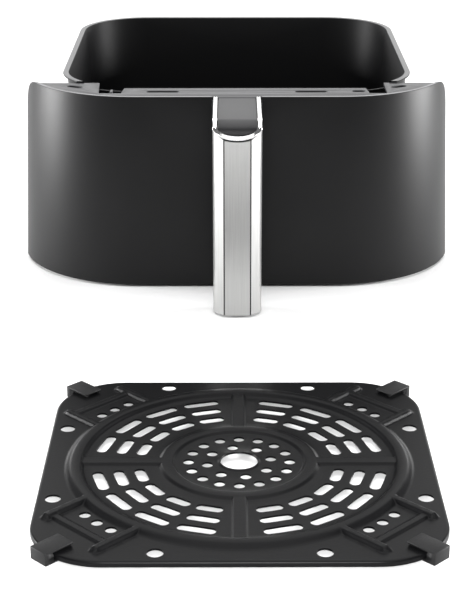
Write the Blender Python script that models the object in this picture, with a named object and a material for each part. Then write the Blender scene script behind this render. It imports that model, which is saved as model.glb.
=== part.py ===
"""Drawer of a countertop air fryer, with its crisper plate laid out in front of it.

Metres, +Z up. The handle points along -Y and the base of the pan stands on z = 0. The drawer is drawn
from its own datum, the middle of the front shell's top edge, and the plate from its own centre. Two
empties carry them to their places, so that the origin is under the middle of the whole layout.
"""

import math

import bmesh
import bpy
from mathutils import Matrix, Vector

MM = 0.001

# Driving dimensions: fits
GAP = 0.3 * MM            # between pieces that touch
SCREW_CLEARANCE = 0.4 * MM  # round a shank, where it only passes through

# Driving dimensions: front shell
FRONT_TOP = 130 * MM      # top edge above the table
FRONT_FOOT = 1.5 * MM     # lower edge above the table
FRONT_HALF_FLAT = 67.8 * MM  # half the flat width between the round corners
FRONT_CORNER_R = 78 * MM  # plan radius of those corners, at the top edge
FRONT_FLARE = 5.5 * MM    # how far the foot stands out past the top edge
FRONT_WALL = 2.5 * MM
WING_DEPTH = 57 * MM      # where the wings end, behind the front face
WING_TOP_R = 18 * MM      # round on the wings' upper rear corner

# Driving dimensions: pan
PAN_WIDTH = 240 * MM      # over the rim
PAN_DEPTH = 236 * MM      # over the rim
PAN_HEIGHT = 130.5 * MM
PAN_RIM = 4 * MM          # flat top of the rim, with the sheet's thickness
PAN_SHEET = 1.2 * MM
PAN_CORNER_R = 50 * MM    # plan radius at the rim
PAN_DRAFT = 8 * MM        # how far each wall leans in on the way down
PAN_BASE_R = 12 * MM      # bend between wall and base

# Driving dimensions: top trim, the ledge between front shell and pan
TRIM_DROP = 0.6 * MM      # below the shell's top edge
TRIM_SHEET = 2.2 * MM
TRIM_DEPTH = 26 * MM      # from the front face to its rear edge, in the middle
EAR_DEPTH = 41 * MM       # the same at its two ears, which cover the pan's front corners
NOTCH_FLOOR = 12 * MM     # the two notches' front edge, behind the front face
LEFT_NOTCH = (-91 * MM, -76.5 * MM)
RIGHT_NOTCH = (87.5 * MM, 99 * MM)
TRIM_SLOT_WIDTH = 4.5 * MM
TRIM_SLOT_LENGTH = 22 * MM
TRIM_SLOT_X = 49 * MM     # middle of the two long slots, each side of the handle
SHORT_SLOT_LENGTH = 9 * MM
SHORT_SLOT_X = 80.5 * MM
SLOT_FROM_MIDDLE = 2.5 * MM  # slots stand this far ahead of the ledge's middle line
SHORT_SLOT_BACK = 1 * MM  # the short slot, behind the long ones
EAR_SLOT_X = 108 * MM
EAR_SLOT_Y = 30 * MM
EAR_SLOT_LENGTH = 12 * MM
EAR_SLOT_ANGLE = 25       # degrees
NOTCH_SLOPE = 1.5 * MM    # lean of a notch's slanted side
TONGUE_LAP = 2 * MM       # how far the tongue over the neck runs into the ledge

# Driving dimensions: inner frame, the plastic back of the drawer front
FRAME_Y = 14.3 * MM       # its front face, behind the front face
FRAME_SHEET = 2.5 * MM
FRAME_FOOT = 8 * MM
BOSS_R = 4 * MM
BOSS_X = 60 * MM
BOSS_FROM_ENDS = 32 * MM  # bosses above the table and below the shell's top edge
LOCK_RIB_X = -83 * MM          # interlock rib that stands in the left notch
LOCK_RIB_WIDTH = 1.6 * MM
LOCK_RIB_REAR = 22 * MM
LOCK_RIB_ROOT = 6.6 * MM       # how far the rib reaches down the frame
FRAME_SIDE_GAP = 2 * MM   # between the frame's ends and the shell's round corners

# Driving dimensions: handle
HANDLE_WIDTH = 31 * MM
HANDLE_REACH = 62 * MM    # its front face, ahead of the shell's
HANDLE_FOOT = 1.5 * MM
BAR_DEPTH = 20 * MM       # the upright bar, front to back
BAR_CHAMFER = 7 * MM
SLEEVE_SHEET = 1.2 * MM
COVER_SHEET = 2.8 * MM    # thickness of the bezel over the neck
BEND_R = 9 * MM           # outside of the bend between neck and bar
NECK_HEIGHT = 14 * MM
BEZEL_WIDTH = 3 * MM      # polished band each side of the thumb insert
BEZEL_DROP = 8.4 * MM     # height of the round end below the band's straight sides
BEZEL_STRAIGHT = 4.3 * MM  # how far the straight sides reach below the top
INSERT_DROP = 0.8 * MM    # thumb insert below the bezel's surface
END_CAP_SHEET = 3.2 * MM
NECK_SIDE_GAP = 0.8 * MM  # each side of the neck, in the shell's slot
MOUNT_PLATE_SHEET = 1.8 * MM
MOUNT_PLATE_LAP = 7 * MM  # how far the mount plate laps over the slot's edges

# Driving dimensions: pan bracket
BRACKET_END_GAP = 4 * MM  # from its ends to the heads of the frame screws
BRACKET_SHEET = 1.2 * MM
BRACKET_DROP = 10.2 * MM  # its top, below the trim's underside
BRACKET_HEIGHT = 24 * MM

# Driving dimensions: screws
SHANK_R = 1.5 * MM
HEAD_R = 3.4 * MM
HEAD_HEIGHT = 2.1 * MM
HEAD_ROUND = 0.9 * MM     # chamfer round the top of the head
TIP_R = 0.9 * MM
FRAME_SCREW_LENGTH = 10 * MM
HANDLE_SCREW_LENGTH = 12 * MM
HANDLE_SCREW_X = 8 * MM
BRACKET_SCREW_LENGTH = 4.4 * MM
BRACKET_SCREW_X = 40 * MM

# Driving dimensions: crisper plate and its corner bumpers
PLATE_SEAT = 14 * MM      # height above the table where it fits the pan
PLATE_EDGE_CLEARANCE = 5 * MM  # to the pan's walls, at that height
PLATE_CORNER_R = 37 * MM
PLATE_SHEET = 1.0 * MM
PLATE_TOP = 4.4 * MM      # top face above the table
PLATE_SKIRT = 2.8 * MM    # height of the edge, which turns down
PLATE_EDGE_R = 1.2 * MM
STEP_HEIGHT = 2.2 * MM    # round raised ring, above the plate's flat
STEP_MARGIN = 10.4 * MM   # from that ring's outer foot to the plate's edge
STEP_OUTER_SLOPE = 4.2 * MM
STEP_LAND = 4 * MM
STEP_INNER_SLOPE = 2.5 * MM
HUB_RING_R = 33 * MM      # inner foot of the low raised ring round the hub
HUB_RING_HEIGHT = 1.2 * MM
HUB_RING_INNER_SLOPE = 2 * MM
HUB_RING_LAND = 4.7 * MM
HUB_RING_OUTER_SLOPE = 2.6 * MM
RIB_HEIGHT = 1.1 * MM     # four low ribs from the hub ring to the round step
RIB_FOOT = 8.4 * MM       # their width, at the foot and on top
RIB_LAND = 5.6 * MM
CORNER_RIB_FOOT = 6.4 * MM  # ribs of the raised H in each corner
CORNER_RIB_LAND = 2.8 * MM
ARM_HEIGHT = 2.1 * MM
# each arm's place across the diagonal (minus is towards the plate's side edge), and how far its end
# stands past the crossbar
ARMS = ((-24.8 * MM, 6 * MM), (16 * MM, 10 * MM))
CROSSBAR_FROM_STEP = 14 * MM  # from the round step's outer foot to the crossbar's middle line
CENTRE_HOLE_R = 10 * MM
HUB_HOLE_R = 3 * MM
HUB_RINGS = ((16.8 * MM, 8, 11.5), (26.3 * MM, 16, 0.0))  # radius, holes, first angle in degrees
SLOT_WIDTH = 6 * MM
SLOT_RING_R = 52 * MM     # innermost ring of slots; as many rings follow as fit
SLOT_RING_PITCH = 10.7 * MM
SLOT_MARGIN = 6.6 * MM    # from the outermost ring to the inner foot of the round step
SLOT_SWEEP = 15.6         # length of each slot, as degrees of its ring
SLOT_ANGLES = (16.5, 35.5, 54.5, 73.5)  # in each quarter, degrees
CORNER_HOLE_MARGIN = 3.4 * MM  # from the round step's outer foot to the corner holes' ring
CORNER_HOLE_STEP = 6.1    # degrees
CORNER_HOLE_TURN = 2.1    # of their middle, from the diagonal towards the plate's side edge
EDGE_HOLE_R = 4.1 * MM
EDGE_HOLE_OFFSET = 39.7 * MM  # from the middle of each side
EDGE_HOLE_INSET = 8.4 * MM    # from the plate's edge
BUMPER_WALL_CLEARANCE = 2.5 * MM
BUMPER_LENGTH = 17 * MM   # along the diagonal
BUMPER_WIDTH = 11.4 * MM
BUMPER_HEIGHT = 6.8 * MM
LAYOUT_GAP = 110 * MM     # from the handle's front to the plate's rear edge, as laid out

# Facets on round pieces
CORNER_STEPS = 7
FRONT_STEPS = 10
ROUND_STEPS = 12
BEND_STEPS = 4
PLATE_STEPS = 56
HOLE_STEPS = 10

# ---------------------------------------------------------------- derived places
TRIM_TOP = FRONT_TOP - TRIM_DROP
TRIM_UNDERSIDE = TRIM_TOP - TRIM_SHEET
BOSS_Z = (BOSS_FROM_ENDS, FRONT_TOP - BOSS_FROM_ENDS)
BRACKET_TOP = TRIM_UNDERSIDE - BRACKET_DROP
BRACKET_SCREW_Z = BRACKET_TOP - BRACKET_HEIGHT / 2
PAN_FRONT = TRIM_DEPTH + GAP - (PAN_RIM - PAN_SHEET)
PAN_CENTRE_Y = PAN_FRONT + PAN_DEPTH / 2
FRAME_BACK = FRAME_Y + FRAME_SHEET
NECK_TOP = min(FRONT_TOP - COVER_SHEET, TRIM_UNDERSIDE) - GAP
NECK_FLOOR = NECK_TOP - NECK_HEIGHT
HANDLE_SCREW_Z = NECK_TOP - NECK_HEIGHT / 2
BAR_BACK = -(HANDLE_REACH - BAR_DEPTH)
BRACKET_HALF = BOSS_X - HEAD_R - BRACKET_END_GAP
ENDS_PAST = 5 * MM        # how far a cutter runs past what it cuts


def pan_inset(height):
    """How far the pan's outer wall stands inside its rim at this height."""
    wall_top = PAN_HEIGHT - PAN_SHEET
    share = (wall_top - height) / (wall_top - PAN_BASE_R)
    return PAN_RIM - PAN_SHEET + PAN_DRAFT * share


SEAT_INSET = pan_inset(PLATE_SEAT) + PAN_SHEET
PLATE_HALF = min(PAN_WIDTH, PAN_DEPTH) / 2 - SEAT_INSET - PLATE_EDGE_CLEARANCE
PLATE_DIAGONAL = (PLATE_HALF - PLATE_CORNER_R) * math.sqrt(2) + PLATE_CORNER_R
STEP_FOOT_R = PLATE_HALF - STEP_MARGIN
STEP_TOP_R = STEP_FOOT_R - STEP_OUTER_SLOPE
FIELD_R = STEP_TOP_R - STEP_LAND - STEP_INNER_SLOPE
HUB_TOP_R = HUB_RING_R + HUB_RING_INNER_SLOPE
HUB_EDGE_R = HUB_TOP_R + HUB_RING_LAND
HUB_FOOT_R = HUB_EDGE_R + HUB_RING_OUTER_SLOPE
CROSSBAR_U = STEP_FOOT_R + CROSSBAR_FROM_STEP
SEAT_CORNER = Vector((PAN_WIDTH / 2 - PAN_CORNER_R, PAN_DEPTH / 2 - PAN_CORNER_R))
BUMPER_TIP = SEAT_CORNER.length + PAN_CORNER_R - SEAT_INSET - BUMPER_WALL_CLEARANCE
BUMPER_REACH = (BUMPER_TIP + BUMPER_WIDTH / 2) / math.sqrt(2)  # furthest along X or Y
PLATE_CENTRE_Y = -HANDLE_REACH - LAYOUT_GAP - PLATE_HALF
LAYOUT_FRONT = PLATE_CENTRE_Y - max(PLATE_HALF, BUMPER_REACH)
LAYOUT_REAR = PAN_FRONT + PAN_DEPTH
DRAWER_Y = -(LAYOUT_FRONT + LAYOUT_REAR) / 2
FRAME_HALF = FRONT_HALF_FLAT + math.sqrt(
    (FRONT_CORNER_R - FRONT_WALL) ** 2 - (FRONT_CORNER_R - FRAME_Y + FRAME_SIDE_GAP) ** 2
)


# ---------------------------------------------------------------- helpers
def clear_scene():
    for obj in list(bpy.context.scene.objects):
        bpy.data.objects.remove(obj, do_unlink=True)


def material(name, colour, roughness, metallic=0.0):
    made = bpy.data.materials.new(name)
    made.use_nodes = True
    shader = made.node_tree.nodes["Principled BSDF"]
    shader.inputs["Base Color"].default_value = (*colour, 1.0)
    shader.inputs["Roughness"].default_value = roughness
    shader.inputs["Metallic"].default_value = metallic
    made.diffuse_color = (*colour, 1.0)
    return made


def datum(name, y):
    """An empty that carries one body's pieces to their place."""
    empty = bpy.data.objects.new(name, None)
    empty.location = (0, y, 0)
    bpy.context.scene.collection.objects.link(empty)
    return empty


def add_object(name, bm, parent, finish=None, smooth_angle=35):
    bmesh.ops.recalc_face_normals(bm, faces=bm.faces)
    mesh = bpy.data.meshes.new(name)
    bm.to_mesh(mesh)
    bm.free()
    mesh.shade_smooth()
    mesh.set_sharp_from_angle(angle=math.radians(smooth_angle))
    obj = bpy.data.objects.new(name, mesh)
    obj.parent = parent
    bpy.context.scene.collection.objects.link(obj)
    if finish:
        mesh.materials.append(finish)
    return obj


def stack(bm, rings):
    """Extrudes a face through a list of rings, which all have the same number of points."""
    face = bm.faces.new([bm.verts.new(point) for point in rings[0]])
    for number, ring in enumerate(rings[1:]):
        before = [vert.co.copy() for vert in face.verts]
        made = bmesh.ops.extrude_face_region(bm, geom=[face])["geom"]
        if number and face.is_valid:
            bm.faces.remove(face)
        face = next(item for item in made if isinstance(item, bmesh.types.BMFace))
        for vert in face.verts:
            nearest = min(range(len(before)), key=lambda i: (before[i] - vert.co).length)
            vert.co = ring[nearest]
    return bm


def solid(name, rings, parent, finish=None, **options):
    return add_object(name, stack(bmesh.new(), rings), parent, finish, **options)


def boolean(target, other, operation="DIFFERENCE"):
    """Joins or cuts a piece with a helper, which stays in the file as a wire."""
    other.hide_render = True
    other.display_type = "WIRE"
    modifier = target.modifiers.new(f"{operation.title()} {other.name}", "BOOLEAN")
    modifier.operation = operation
    modifier.object = other
    modifier.solver = "EXACT"


def box_rings(low, high):
    corners = [(low[0], low[1]), (high[0], low[1]), (high[0], high[1]), (low[0], high[1])]
    return [[Vector((x, y, z)) for x, y in corners] for z in (low[2], high[2])]


def level(points, z):
    return [Vector((x, y, z)) for x, y in points]


def across(points, half):
    """Two copies of a side outline, (y, z) points, at x = -half and x = half."""
    return [[Vector((x, y, z)) for y, z in points] for x in (-half, half)]


def along(points, y_from, y_to):
    """Two copies of a front outline, (x, z) points, at two depths."""
    return [[Vector((x, y, z)) for x, z in points] for y in (y_from, y_to)]


def arc(centre, radius, start, end, steps):
    """Points on a circle from one angle to another, both in degrees."""
    angles = [math.radians(start + (end - start) * i / steps) for i in range(steps + 1)]
    return [(centre[0] + radius * math.cos(a), centre[1] + radius * math.sin(a)) for a in angles]


def rounded_rectangle(half_x, half_y, radius, centre_y=0.0, steps=CORNER_STEPS):
    points = []
    for turn, (sx, sy) in enumerate(((1, 1), (-1, 1), (-1, -1), (1, -1))):
        centre = (sx * (half_x - radius), centre_y + sy * (half_y - radius))
        points += arc(centre, radius, 90 * turn, 90 * turn + 90, steps)
    return points


def rod_rings(x, z, profile):
    """Rings of a round piece along Y, from (y, radius) pairs."""
    rings = []
    for y, radius in profile:
        circle = arc((x, z), radius, 0, 360 - 360 / ROUND_STEPS, ROUND_STEPS - 1)
        rings.append([Vector((px, y, pz)) for px, pz in circle])
    return rings


def cut_rod(target, name, x, z, y_from, y_to, radius):
    cutter = solid(name, rod_rings(x, z, [(y_from, radius), (y_to, radius)]), target.parent)
    boolean(target, cutter)


def corner_cutter(name, corner, radius, towards, half, parent):
    """Takes the square corner of a side outline off, down to a round of this radius."""
    dy, dz = towards
    centre = (corner[0] - dy * radius, corner[1] - dz * radius)
    middle = math.degrees(math.atan2(dz, dy))
    points = arc(centre, radius, middle - 45, middle + 45, 2 * BEND_STEPS)
    past = ENDS_PAST
    if dy * dz > 0:
        points += [(centre[0], corner[1] + dz * past), (corner[0] + dy * past, corner[1] + dz * past)]
        points += [(corner[0] + dy * past, centre[1])]
    else:
        points += [(corner[0] + dy * past, centre[1]), (corner[0] + dy * past, corner[1] + dz * past)]
        points += [(centre[0], corner[1] + dz * past)]
    return solid(name, across(points, half), parent)


# ---------------------------------------------------------------- the drawer front
def front_outline(offset, depth=WING_DEPTH):
    """Plan outline of the front, left wing to right wing, grown by offset from the top edge's."""
    radius = FRONT_CORNER_R + offset
    turn = math.degrees(math.acos((FRONT_CORNER_R - depth) / radius))
    right = arc((FRONT_HALF_FLAT, FRONT_CORNER_R), radius, -90, -90 + turn, FRONT_STEPS)
    left = [(-x, y) for x, y in reversed(right)]
    return left + right


def front_wall_ring(offset, z):
    outer = front_outline(offset)
    inner = front_outline(offset - FRONT_WALL)
    return level(outer + inner[::-1], z)


def flare_at(z):
    return FRONT_FLARE * (FRONT_TOP - z) / (FRONT_TOP - FRONT_FOOT)


def make_front_shell(parent, finish):
    rings = [front_wall_ring(FRONT_FLARE, FRONT_FOOT), front_wall_ring(0, FRONT_TOP)]
    shell = solid("front_shell", rings, parent, finish)
    for side, z in ((side, z) for side in (-1, 1) for z in BOSS_Z):
        name = f"boss_{side}_{z / MM:.0f}"
        wall_middle = FRONT_WALL / 2 - flare_at(z)
        boss_end = FRAME_Y - GAP
        rings = rod_rings(side * BOSS_X, z, [(wall_middle, BOSS_R), (boss_end, BOSS_R)])
        boolean(shell, solid(name, rings, parent), "UNION")
        pilot_floor = boss_end - FRAME_SCREW_LENGTH + FRAME_SHEET
        cut_rod(shell, name + "_pilot", side * BOSS_X, z, pilot_floor, boss_end + ENDS_PAST, SHANK_R + GAP)
    half = front_outline(FRONT_FLARE)[-1][0] + ENDS_PAST
    rounding = corner_cutter("wing_round", (WING_DEPTH, FRONT_TOP), WING_TOP_R, (1, 1), half, parent)
    boolean(shell, rounding)
    slot_half = HANDLE_WIDTH / 2 + NECK_SIDE_GAP
    low = (-slot_half, -ENDS_PAST, NECK_FLOOR - NECK_SIDE_GAP)
    high = (slot_half, FRONT_WALL + ENDS_PAST, FRONT_TOP + ENDS_PAST)
    boolean(shell, solid("neck_slot", box_rings(low, high), parent))
    return shell


def make_inner_frame(parent, finish):
    low = (-FRAME_HALF, FRAME_Y, FRAME_FOOT)
    high = (FRAME_HALF, FRAME_BACK, TRIM_UNDERSIDE - GAP)
    frame = solid("inner_frame", box_rings(low, high), parent, finish)
    rib_low = (LOCK_RIB_X - LOCK_RIB_WIDTH / 2, FRAME_Y + GAP, TRIM_UNDERSIDE - LOCK_RIB_ROOT)
    rib_high = (LOCK_RIB_X + LOCK_RIB_WIDTH / 2, LOCK_RIB_REAR, TRIM_TOP)
    boolean(frame, solid("lock_rib", box_rings(rib_low, rib_high), parent), "UNION")
    for side in (-1, 1):
        for z in BOSS_Z:
            name = f"frame_hole_{side}_{z / MM:.0f}"
            cut_rod(frame, name, side * BOSS_X, z, FRAME_Y - ENDS_PAST, FRAME_BACK + ENDS_PAST,
                    SHANK_R + SCREW_CLEARANCE)
        cut_rod(frame, f"bracket_hole_{side}", side * BRACKET_SCREW_X, BRACKET_SCREW_Z,
                FRAME_Y - ENDS_PAST, FRAME_BACK + ENDS_PAST, SHANK_R + GAP)
    return frame


def slot_outline(length, width, centre, angle=0.0):
    """A slot with round ends, as plan points."""
    straight = (length - width) / 2
    ends = arc((straight, 0), width / 2, -90, 90, BEND_STEPS)
    ends += arc((-straight, 0), width / 2, 90, 270, BEND_STEPS)
    turn = Matrix.Rotation(math.radians(angle), 2)
    return [tuple(Vector(centre) + turn @ Vector(point)) for point in ends]


def make_top_trim(parent, finish):
    lip = -(FRONT_WALL + GAP)
    ears = front_outline(lip, EAR_DEPTH)
    steps_out = [(RIGHT_NOTCH[1], EAR_DEPTH), (RIGHT_NOTCH[1], NOTCH_FLOOR), (RIGHT_NOTCH[0], NOTCH_FLOOR),
                 (RIGHT_NOTCH[0] - NOTCH_SLOPE, TRIM_DEPTH), (LEFT_NOTCH[1] + NOTCH_SLOPE, TRIM_DEPTH),
                 (LEFT_NOTCH[1], NOTCH_FLOOR), (LEFT_NOTCH[0], NOTCH_FLOOR),
                 (LEFT_NOTCH[0] - NOTCH_SLOPE, EAR_DEPTH)]
    outline = ears + steps_out
    trim = solid("top_trim", [level(outline, TRIM_UNDERSIDE), level(outline, TRIM_TOP)], parent, finish)
    tongue_half = HANDLE_WIDTH / 2 - GAP
    low = (-tongue_half, GAP, TRIM_UNDERSIDE)
    high = (tongue_half, FRONT_WALL + TONGUE_LAP, TRIM_TOP)
    tongue = solid("tongue", box_rings(low, high), parent)
    boolean(trim, tongue, "UNION")
    slot_y = (NOTCH_FLOOR + TRIM_DEPTH) / 2 - SLOT_FROM_MIDDLE
    slots = [(TRIM_SLOT_LENGTH, (side * TRIM_SLOT_X, slot_y), 0) for side in (-1, 1)]
    slots += [(SHORT_SLOT_LENGTH, (SHORT_SLOT_X, slot_y + SHORT_SLOT_BACK), 0)]
    slots += [(EAR_SLOT_LENGTH, (side * EAR_SLOT_X, EAR_SLOT_Y), side * EAR_SLOT_ANGLE) for side in (-1, 1)]
    for number, (length, centre, angle) in enumerate(slots):
        points = slot_outline(length, TRIM_SLOT_WIDTH, centre, angle)
        rings = [level(points, TRIM_UNDERSIDE - ENDS_PAST), level(points, TRIM_TOP + ENDS_PAST)]
        boolean(trim, solid(f"trim_slot_{number}", rings, parent))
    return trim


# ---------------------------------------------------------------- the pan
def pan_ring(inset, z):
    half_x = PAN_WIDTH / 2 - inset
    half_y = PAN_DEPTH / 2 - inset
    return level(rounded_rectangle(half_x, half_y, PAN_CORNER_R - inset, PAN_CENTRE_Y), z)


def make_pan(parent, finish):
    wall_top = PAN_HEIGHT - PAN_SHEET
    foot = pan_inset(PAN_BASE_R)
    outside = [(foot + PAN_BASE_R * (1 - math.sin(a)), PAN_BASE_R * (1 - math.cos(a)))
               for a in (math.radians(90 * i / BEND_STEPS) for i in range(BEND_STEPS + 1))]
    rim = [(pan_inset(wall_top), wall_top), (0, wall_top), (0, PAN_HEIGHT), (PAN_RIM, PAN_HEIGHT)]
    inner_r = PAN_BASE_R - PAN_SHEET
    inside = [(foot + PAN_SHEET + inner_r * (1 - math.sin(a)), PAN_SHEET + inner_r * (1 - math.cos(a)))
              for a in (math.radians(90 - 90 * i / BEND_STEPS) for i in range(BEND_STEPS + 1))]
    pan = solid("pan", [pan_ring(inset, z) for inset, z in outside + rim + inside], parent, finish)
    low = (-PAN_WIDTH, PAN_FRONT - ENDS_PAST, TRIM_UNDERSIDE - GAP)
    high = (PAN_WIDTH, EAR_DEPTH + GAP, PAN_HEIGHT + ENDS_PAST)
    boolean(pan, solid("pan_front_cut", box_rings(low, high), parent))
    return pan


def make_pan_bracket(parent, finish):
    """A channel, open downwards, between the inner frame and the pan's front wall."""
    foot = BRACKET_TOP - BRACKET_HEIGHT
    front = FRAME_BACK + GAP
    rear_top = PAN_FRONT + pan_inset(BRACKET_TOP) - GAP
    rear_foot = PAN_FRONT + pan_inset(foot) - GAP
    web = BRACKET_TOP - BRACKET_SHEET
    points = [(front, foot), (front, BRACKET_TOP), (rear_top, BRACKET_TOP), (rear_foot, foot),
              (rear_foot - BRACKET_SHEET, foot), (rear_top - BRACKET_SHEET, web),
              (front + BRACKET_SHEET, web), (front + BRACKET_SHEET, foot)]
    bracket = solid("pan_bracket", across(points, BRACKET_HALF), parent, finish)
    for side in (-1, 1):
        cut_rod(bracket, f"bracket_screw_hole_{side}", side * BRACKET_SCREW_X, BRACKET_SCREW_Z,
                FRAME_BACK - ENDS_PAST, front + BRACKET_SHEET + GAP, SHANK_R + SCREW_CLEARANCE)
    return bracket


# ---------------------------------------------------------------- the handle
def bar_section(inset, front):
    """Plan outline of the upright bar with chamfered front edges, shrunk by inset and cut off at front."""
    half = HANDLE_WIDTH / 2 - inset
    diagonal = HANDLE_WIDTH / 2 + HANDLE_REACH - BAR_CHAMFER - inset * math.sqrt(2)
    edge = [(half, -(diagonal - half)), (diagonal - front, -front)]
    return [(half, BAR_BACK)] + edge + [(-x, y) for x, y in edge[::-1]] + [(-half, BAR_BACK)]


def cover_strip(drop, thickness):
    """Side outline of a strip over the neck and round the bend, this far below the handle's surface."""
    top = FRONT_TOP - drop
    front = -HANDLE_REACH + drop
    centre = (-HANDLE_REACH + BEND_R, FRONT_TOP - BEND_R)
    low = FRONT_TOP - BEZEL_STRAIGHT - BEZEL_DROP - ENDS_PAST
    outer = [(0, top)] + arc(centre, BEND_R - drop, 90, 180, BEND_STEPS) + [(front, low)]
    inner_r = BEND_R - drop - thickness
    inner = [(front + thickness, low)] + arc(centre, inner_r, 180, 90, BEND_STEPS) + [(0, top - thickness)]
    return outer + inner


def tongue_outline(grow):
    """Front outline, (x, z), of the bezel's shape: straight sides and an elliptical lower end."""
    half = HANDLE_WIDTH / 2 + grow
    drop = BEZEL_DROP + grow
    hip = FRONT_TOP - BEZEL_STRAIGHT
    steps = 2 * ROUND_STEPS
    angles = [math.radians(180 + 180 * i / steps) for i in range(steps + 1)]
    ends = [(half * math.cos(a), hip + drop * math.sin(a)) for a in angles]
    return [(-half, FRONT_TOP + ENDS_PAST)] + ends + [(half, FRONT_TOP + ENDS_PAST)]


def tongue_prism(name, grow, parent):
    reach = along(tongue_outline(grow), -HANDLE_REACH - ENDS_PAST, ENDS_PAST)
    return solid(name, reach, parent)


def make_bezel(parent, finish):
    strip = across(cover_strip(0, COVER_SHEET), HANDLE_WIDTH / 2 + ENDS_PAST)
    bezel = solid("handle_bezel", strip, parent, finish)
    boolean(bezel, tongue_prism("bezel_outline", 0, parent), "INTERSECT")
    boolean(bezel, tongue_prism("bezel_opening", -BEZEL_WIDTH, parent))
    return bezel


def make_thumb_insert(parent, finish):
    strip = across(cover_strip(INSERT_DROP, COVER_SHEET - INSERT_DROP), HANDLE_WIDTH / 2 + ENDS_PAST)
    insert = solid("thumb_insert", strip, parent, finish)
    boolean(insert, tongue_prism("insert_outline", -BEZEL_WIDTH - GAP, parent), "INTERSECT")
    return insert


def make_handle_sleeve(parent, finish):
    outer = bar_section(0, HANDLE_REACH)
    inner = bar_section(SLEEVE_SHEET, HANDLE_REACH - SLEEVE_SHEET)
    ring = outer + inner[::-1]
    top = FRONT_TOP - BEZEL_STRAIGHT
    sleeve = solid("handle_sleeve", [level(ring, HANDLE_FOOT), level(ring, top)], parent, finish)
    prism = along(tongue_outline(GAP), -HANDLE_REACH - ENDS_PAST, BAR_BACK + ENDS_PAST)
    boolean(sleeve, solid("sleeve_top", prism, parent))
    return sleeve


def make_handle_core(parent, finish):
    """The plastic neck and bar: the neck passes the shell, the bar fills the sleeve."""
    front = HANDLE_REACH - COVER_SHEET - GAP
    section = bar_section(SLEEVE_SHEET + GAP, front)
    foot = HANDLE_FOOT + END_CAP_SHEET + GAP
    core = solid("handle_core", [level(section, foot), level(section, NECK_TOP)], parent, finish)
    half = HANDLE_WIDTH / 2
    low = (-half, BAR_BACK + GAP, NECK_FLOOR)
    neck = solid("neck", box_rings(low, (half, FRONT_WALL, NECK_TOP)), parent)
    boolean(core, neck, "UNION")
    root_half = half - SLEEVE_SHEET - GAP
    low = (-root_half, BAR_BACK - ENDS_PAST, NECK_FLOOR)
    high = (root_half, BAR_BACK + ENDS_PAST, NECK_TOP - GAP)
    boolean(core, solid("neck_root", box_rings(low, high), parent), "UNION")
    bend_r = BEND_R - COVER_SHEET - GAP
    boolean(core, corner_cutter("core_bend", (-front, NECK_TOP), bend_r, (-1, 1), half + ENDS_PAST, parent))
    for side in (-1, 1):
        cut_rod(core, f"neck_pilot_{side}", side * HANDLE_SCREW_X, HANDLE_SCREW_Z,
                FRONT_WALL - HANDLE_SCREW_LENGTH, FRONT_WALL + ENDS_PAST, SHANK_R + GAP)
    return core


def make_handle_end_cap(parent, finish):
    section = bar_section(SLEEVE_SHEET + GAP, HANDLE_REACH - SLEEVE_SHEET - GAP)
    rings = [level(section, HANDLE_FOOT), level(section, HANDLE_FOOT + END_CAP_SHEET)]
    return solid("handle_end_cap", rings, parent, finish)


def make_mount_plate(parent, finish):
    half = HANDLE_WIDTH / 2 + NECK_SIDE_GAP + MOUNT_PLATE_LAP
    low = (-half, FRONT_WALL + GAP, NECK_FLOOR - MOUNT_PLATE_LAP)
    high = (half, FRONT_WALL + GAP + MOUNT_PLATE_SHEET, TRIM_UNDERSIDE - GAP)
    plate = solid("handle_mount_plate", box_rings(low, high), parent, finish)
    for side in (-1, 1):
        cut_rod(plate, f"mount_plate_hole_{side}", side * HANDLE_SCREW_X, HANDLE_SCREW_Z,
                low[1] - ENDS_PAST, high[1] + ENDS_PAST, SHANK_R + SCREW_CLEARANCE)
    return plate


# ---------------------------------------------------------------- screws
def make_screw(name, x, z, seat, length, parent, finish):
    """A pan-head screw along Y: its head stands behind the seat and its shank runs forward."""
    face = seat + GAP
    tip = face - length
    profile = [(tip, TIP_R), (tip + SHANK_R, SHANK_R), (face, SHANK_R), (face, HEAD_R),
               (face + HEAD_HEIGHT - HEAD_ROUND, HEAD_R), (face + HEAD_HEIGHT, HEAD_R - HEAD_ROUND)]
    return solid(name, rod_rings(x, z, profile), parent, finish)


def make_screws(parent, finish):
    heights = {"lower": BOSS_Z[0], "upper": BOSS_Z[1]}
    mount_seat = FRONT_WALL + GAP + MOUNT_PLATE_SHEET
    bracket_seat = FRAME_BACK + GAP + BRACKET_SHEET
    for side, word in ((-1, "left"), (1, "right")):
        for row, z in heights.items():
            make_screw(f"frame_screw_{row}_{word}", side * BOSS_X, z, FRAME_BACK, FRAME_SCREW_LENGTH,
                       parent, finish)
        make_screw(f"handle_screw_{word}", side * HANDLE_SCREW_X, HANDLE_SCREW_Z, mount_seat,
                   HANDLE_SCREW_LENGTH, parent, finish)
        make_screw(f"bracket_screw_{word}", side * BRACKET_SCREW_X, BRACKET_SCREW_Z,
                   bracket_seat, BRACKET_SCREW_LENGTH, parent, finish)


# ---------------------------------------------------------------- the crisper plate
def plate_outline(inset):
    """Rounded square, met by evenly turned rays from its centre, so that it lines up with plate_ring."""
    half = PLATE_HALF - inset
    corner = half - PLATE_CORNER_R + inset
    points = []
    for number in range(PLATE_STEPS):
        ray = Vector((math.cos(math.tau * number / PLATE_STEPS), math.sin(math.tau * number / PLATE_STEPS)))
        reach = half / max(abs(ray.x), abs(ray.y))
        if min(abs(ray.x), abs(ray.y)) * reach > corner:
            towards = (abs(ray.x) + abs(ray.y)) * corner
            reach = towards + math.sqrt(towards**2 - 2 * corner**2 + (half - corner) ** 2)
        points.append((ray.x * reach, ray.y * reach))
    return points


def plate_ring(radius):
    return arc((0, 0), radius, 0, 360 - 360 / PLATE_STEPS, PLATE_STEPS - 1)


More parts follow.
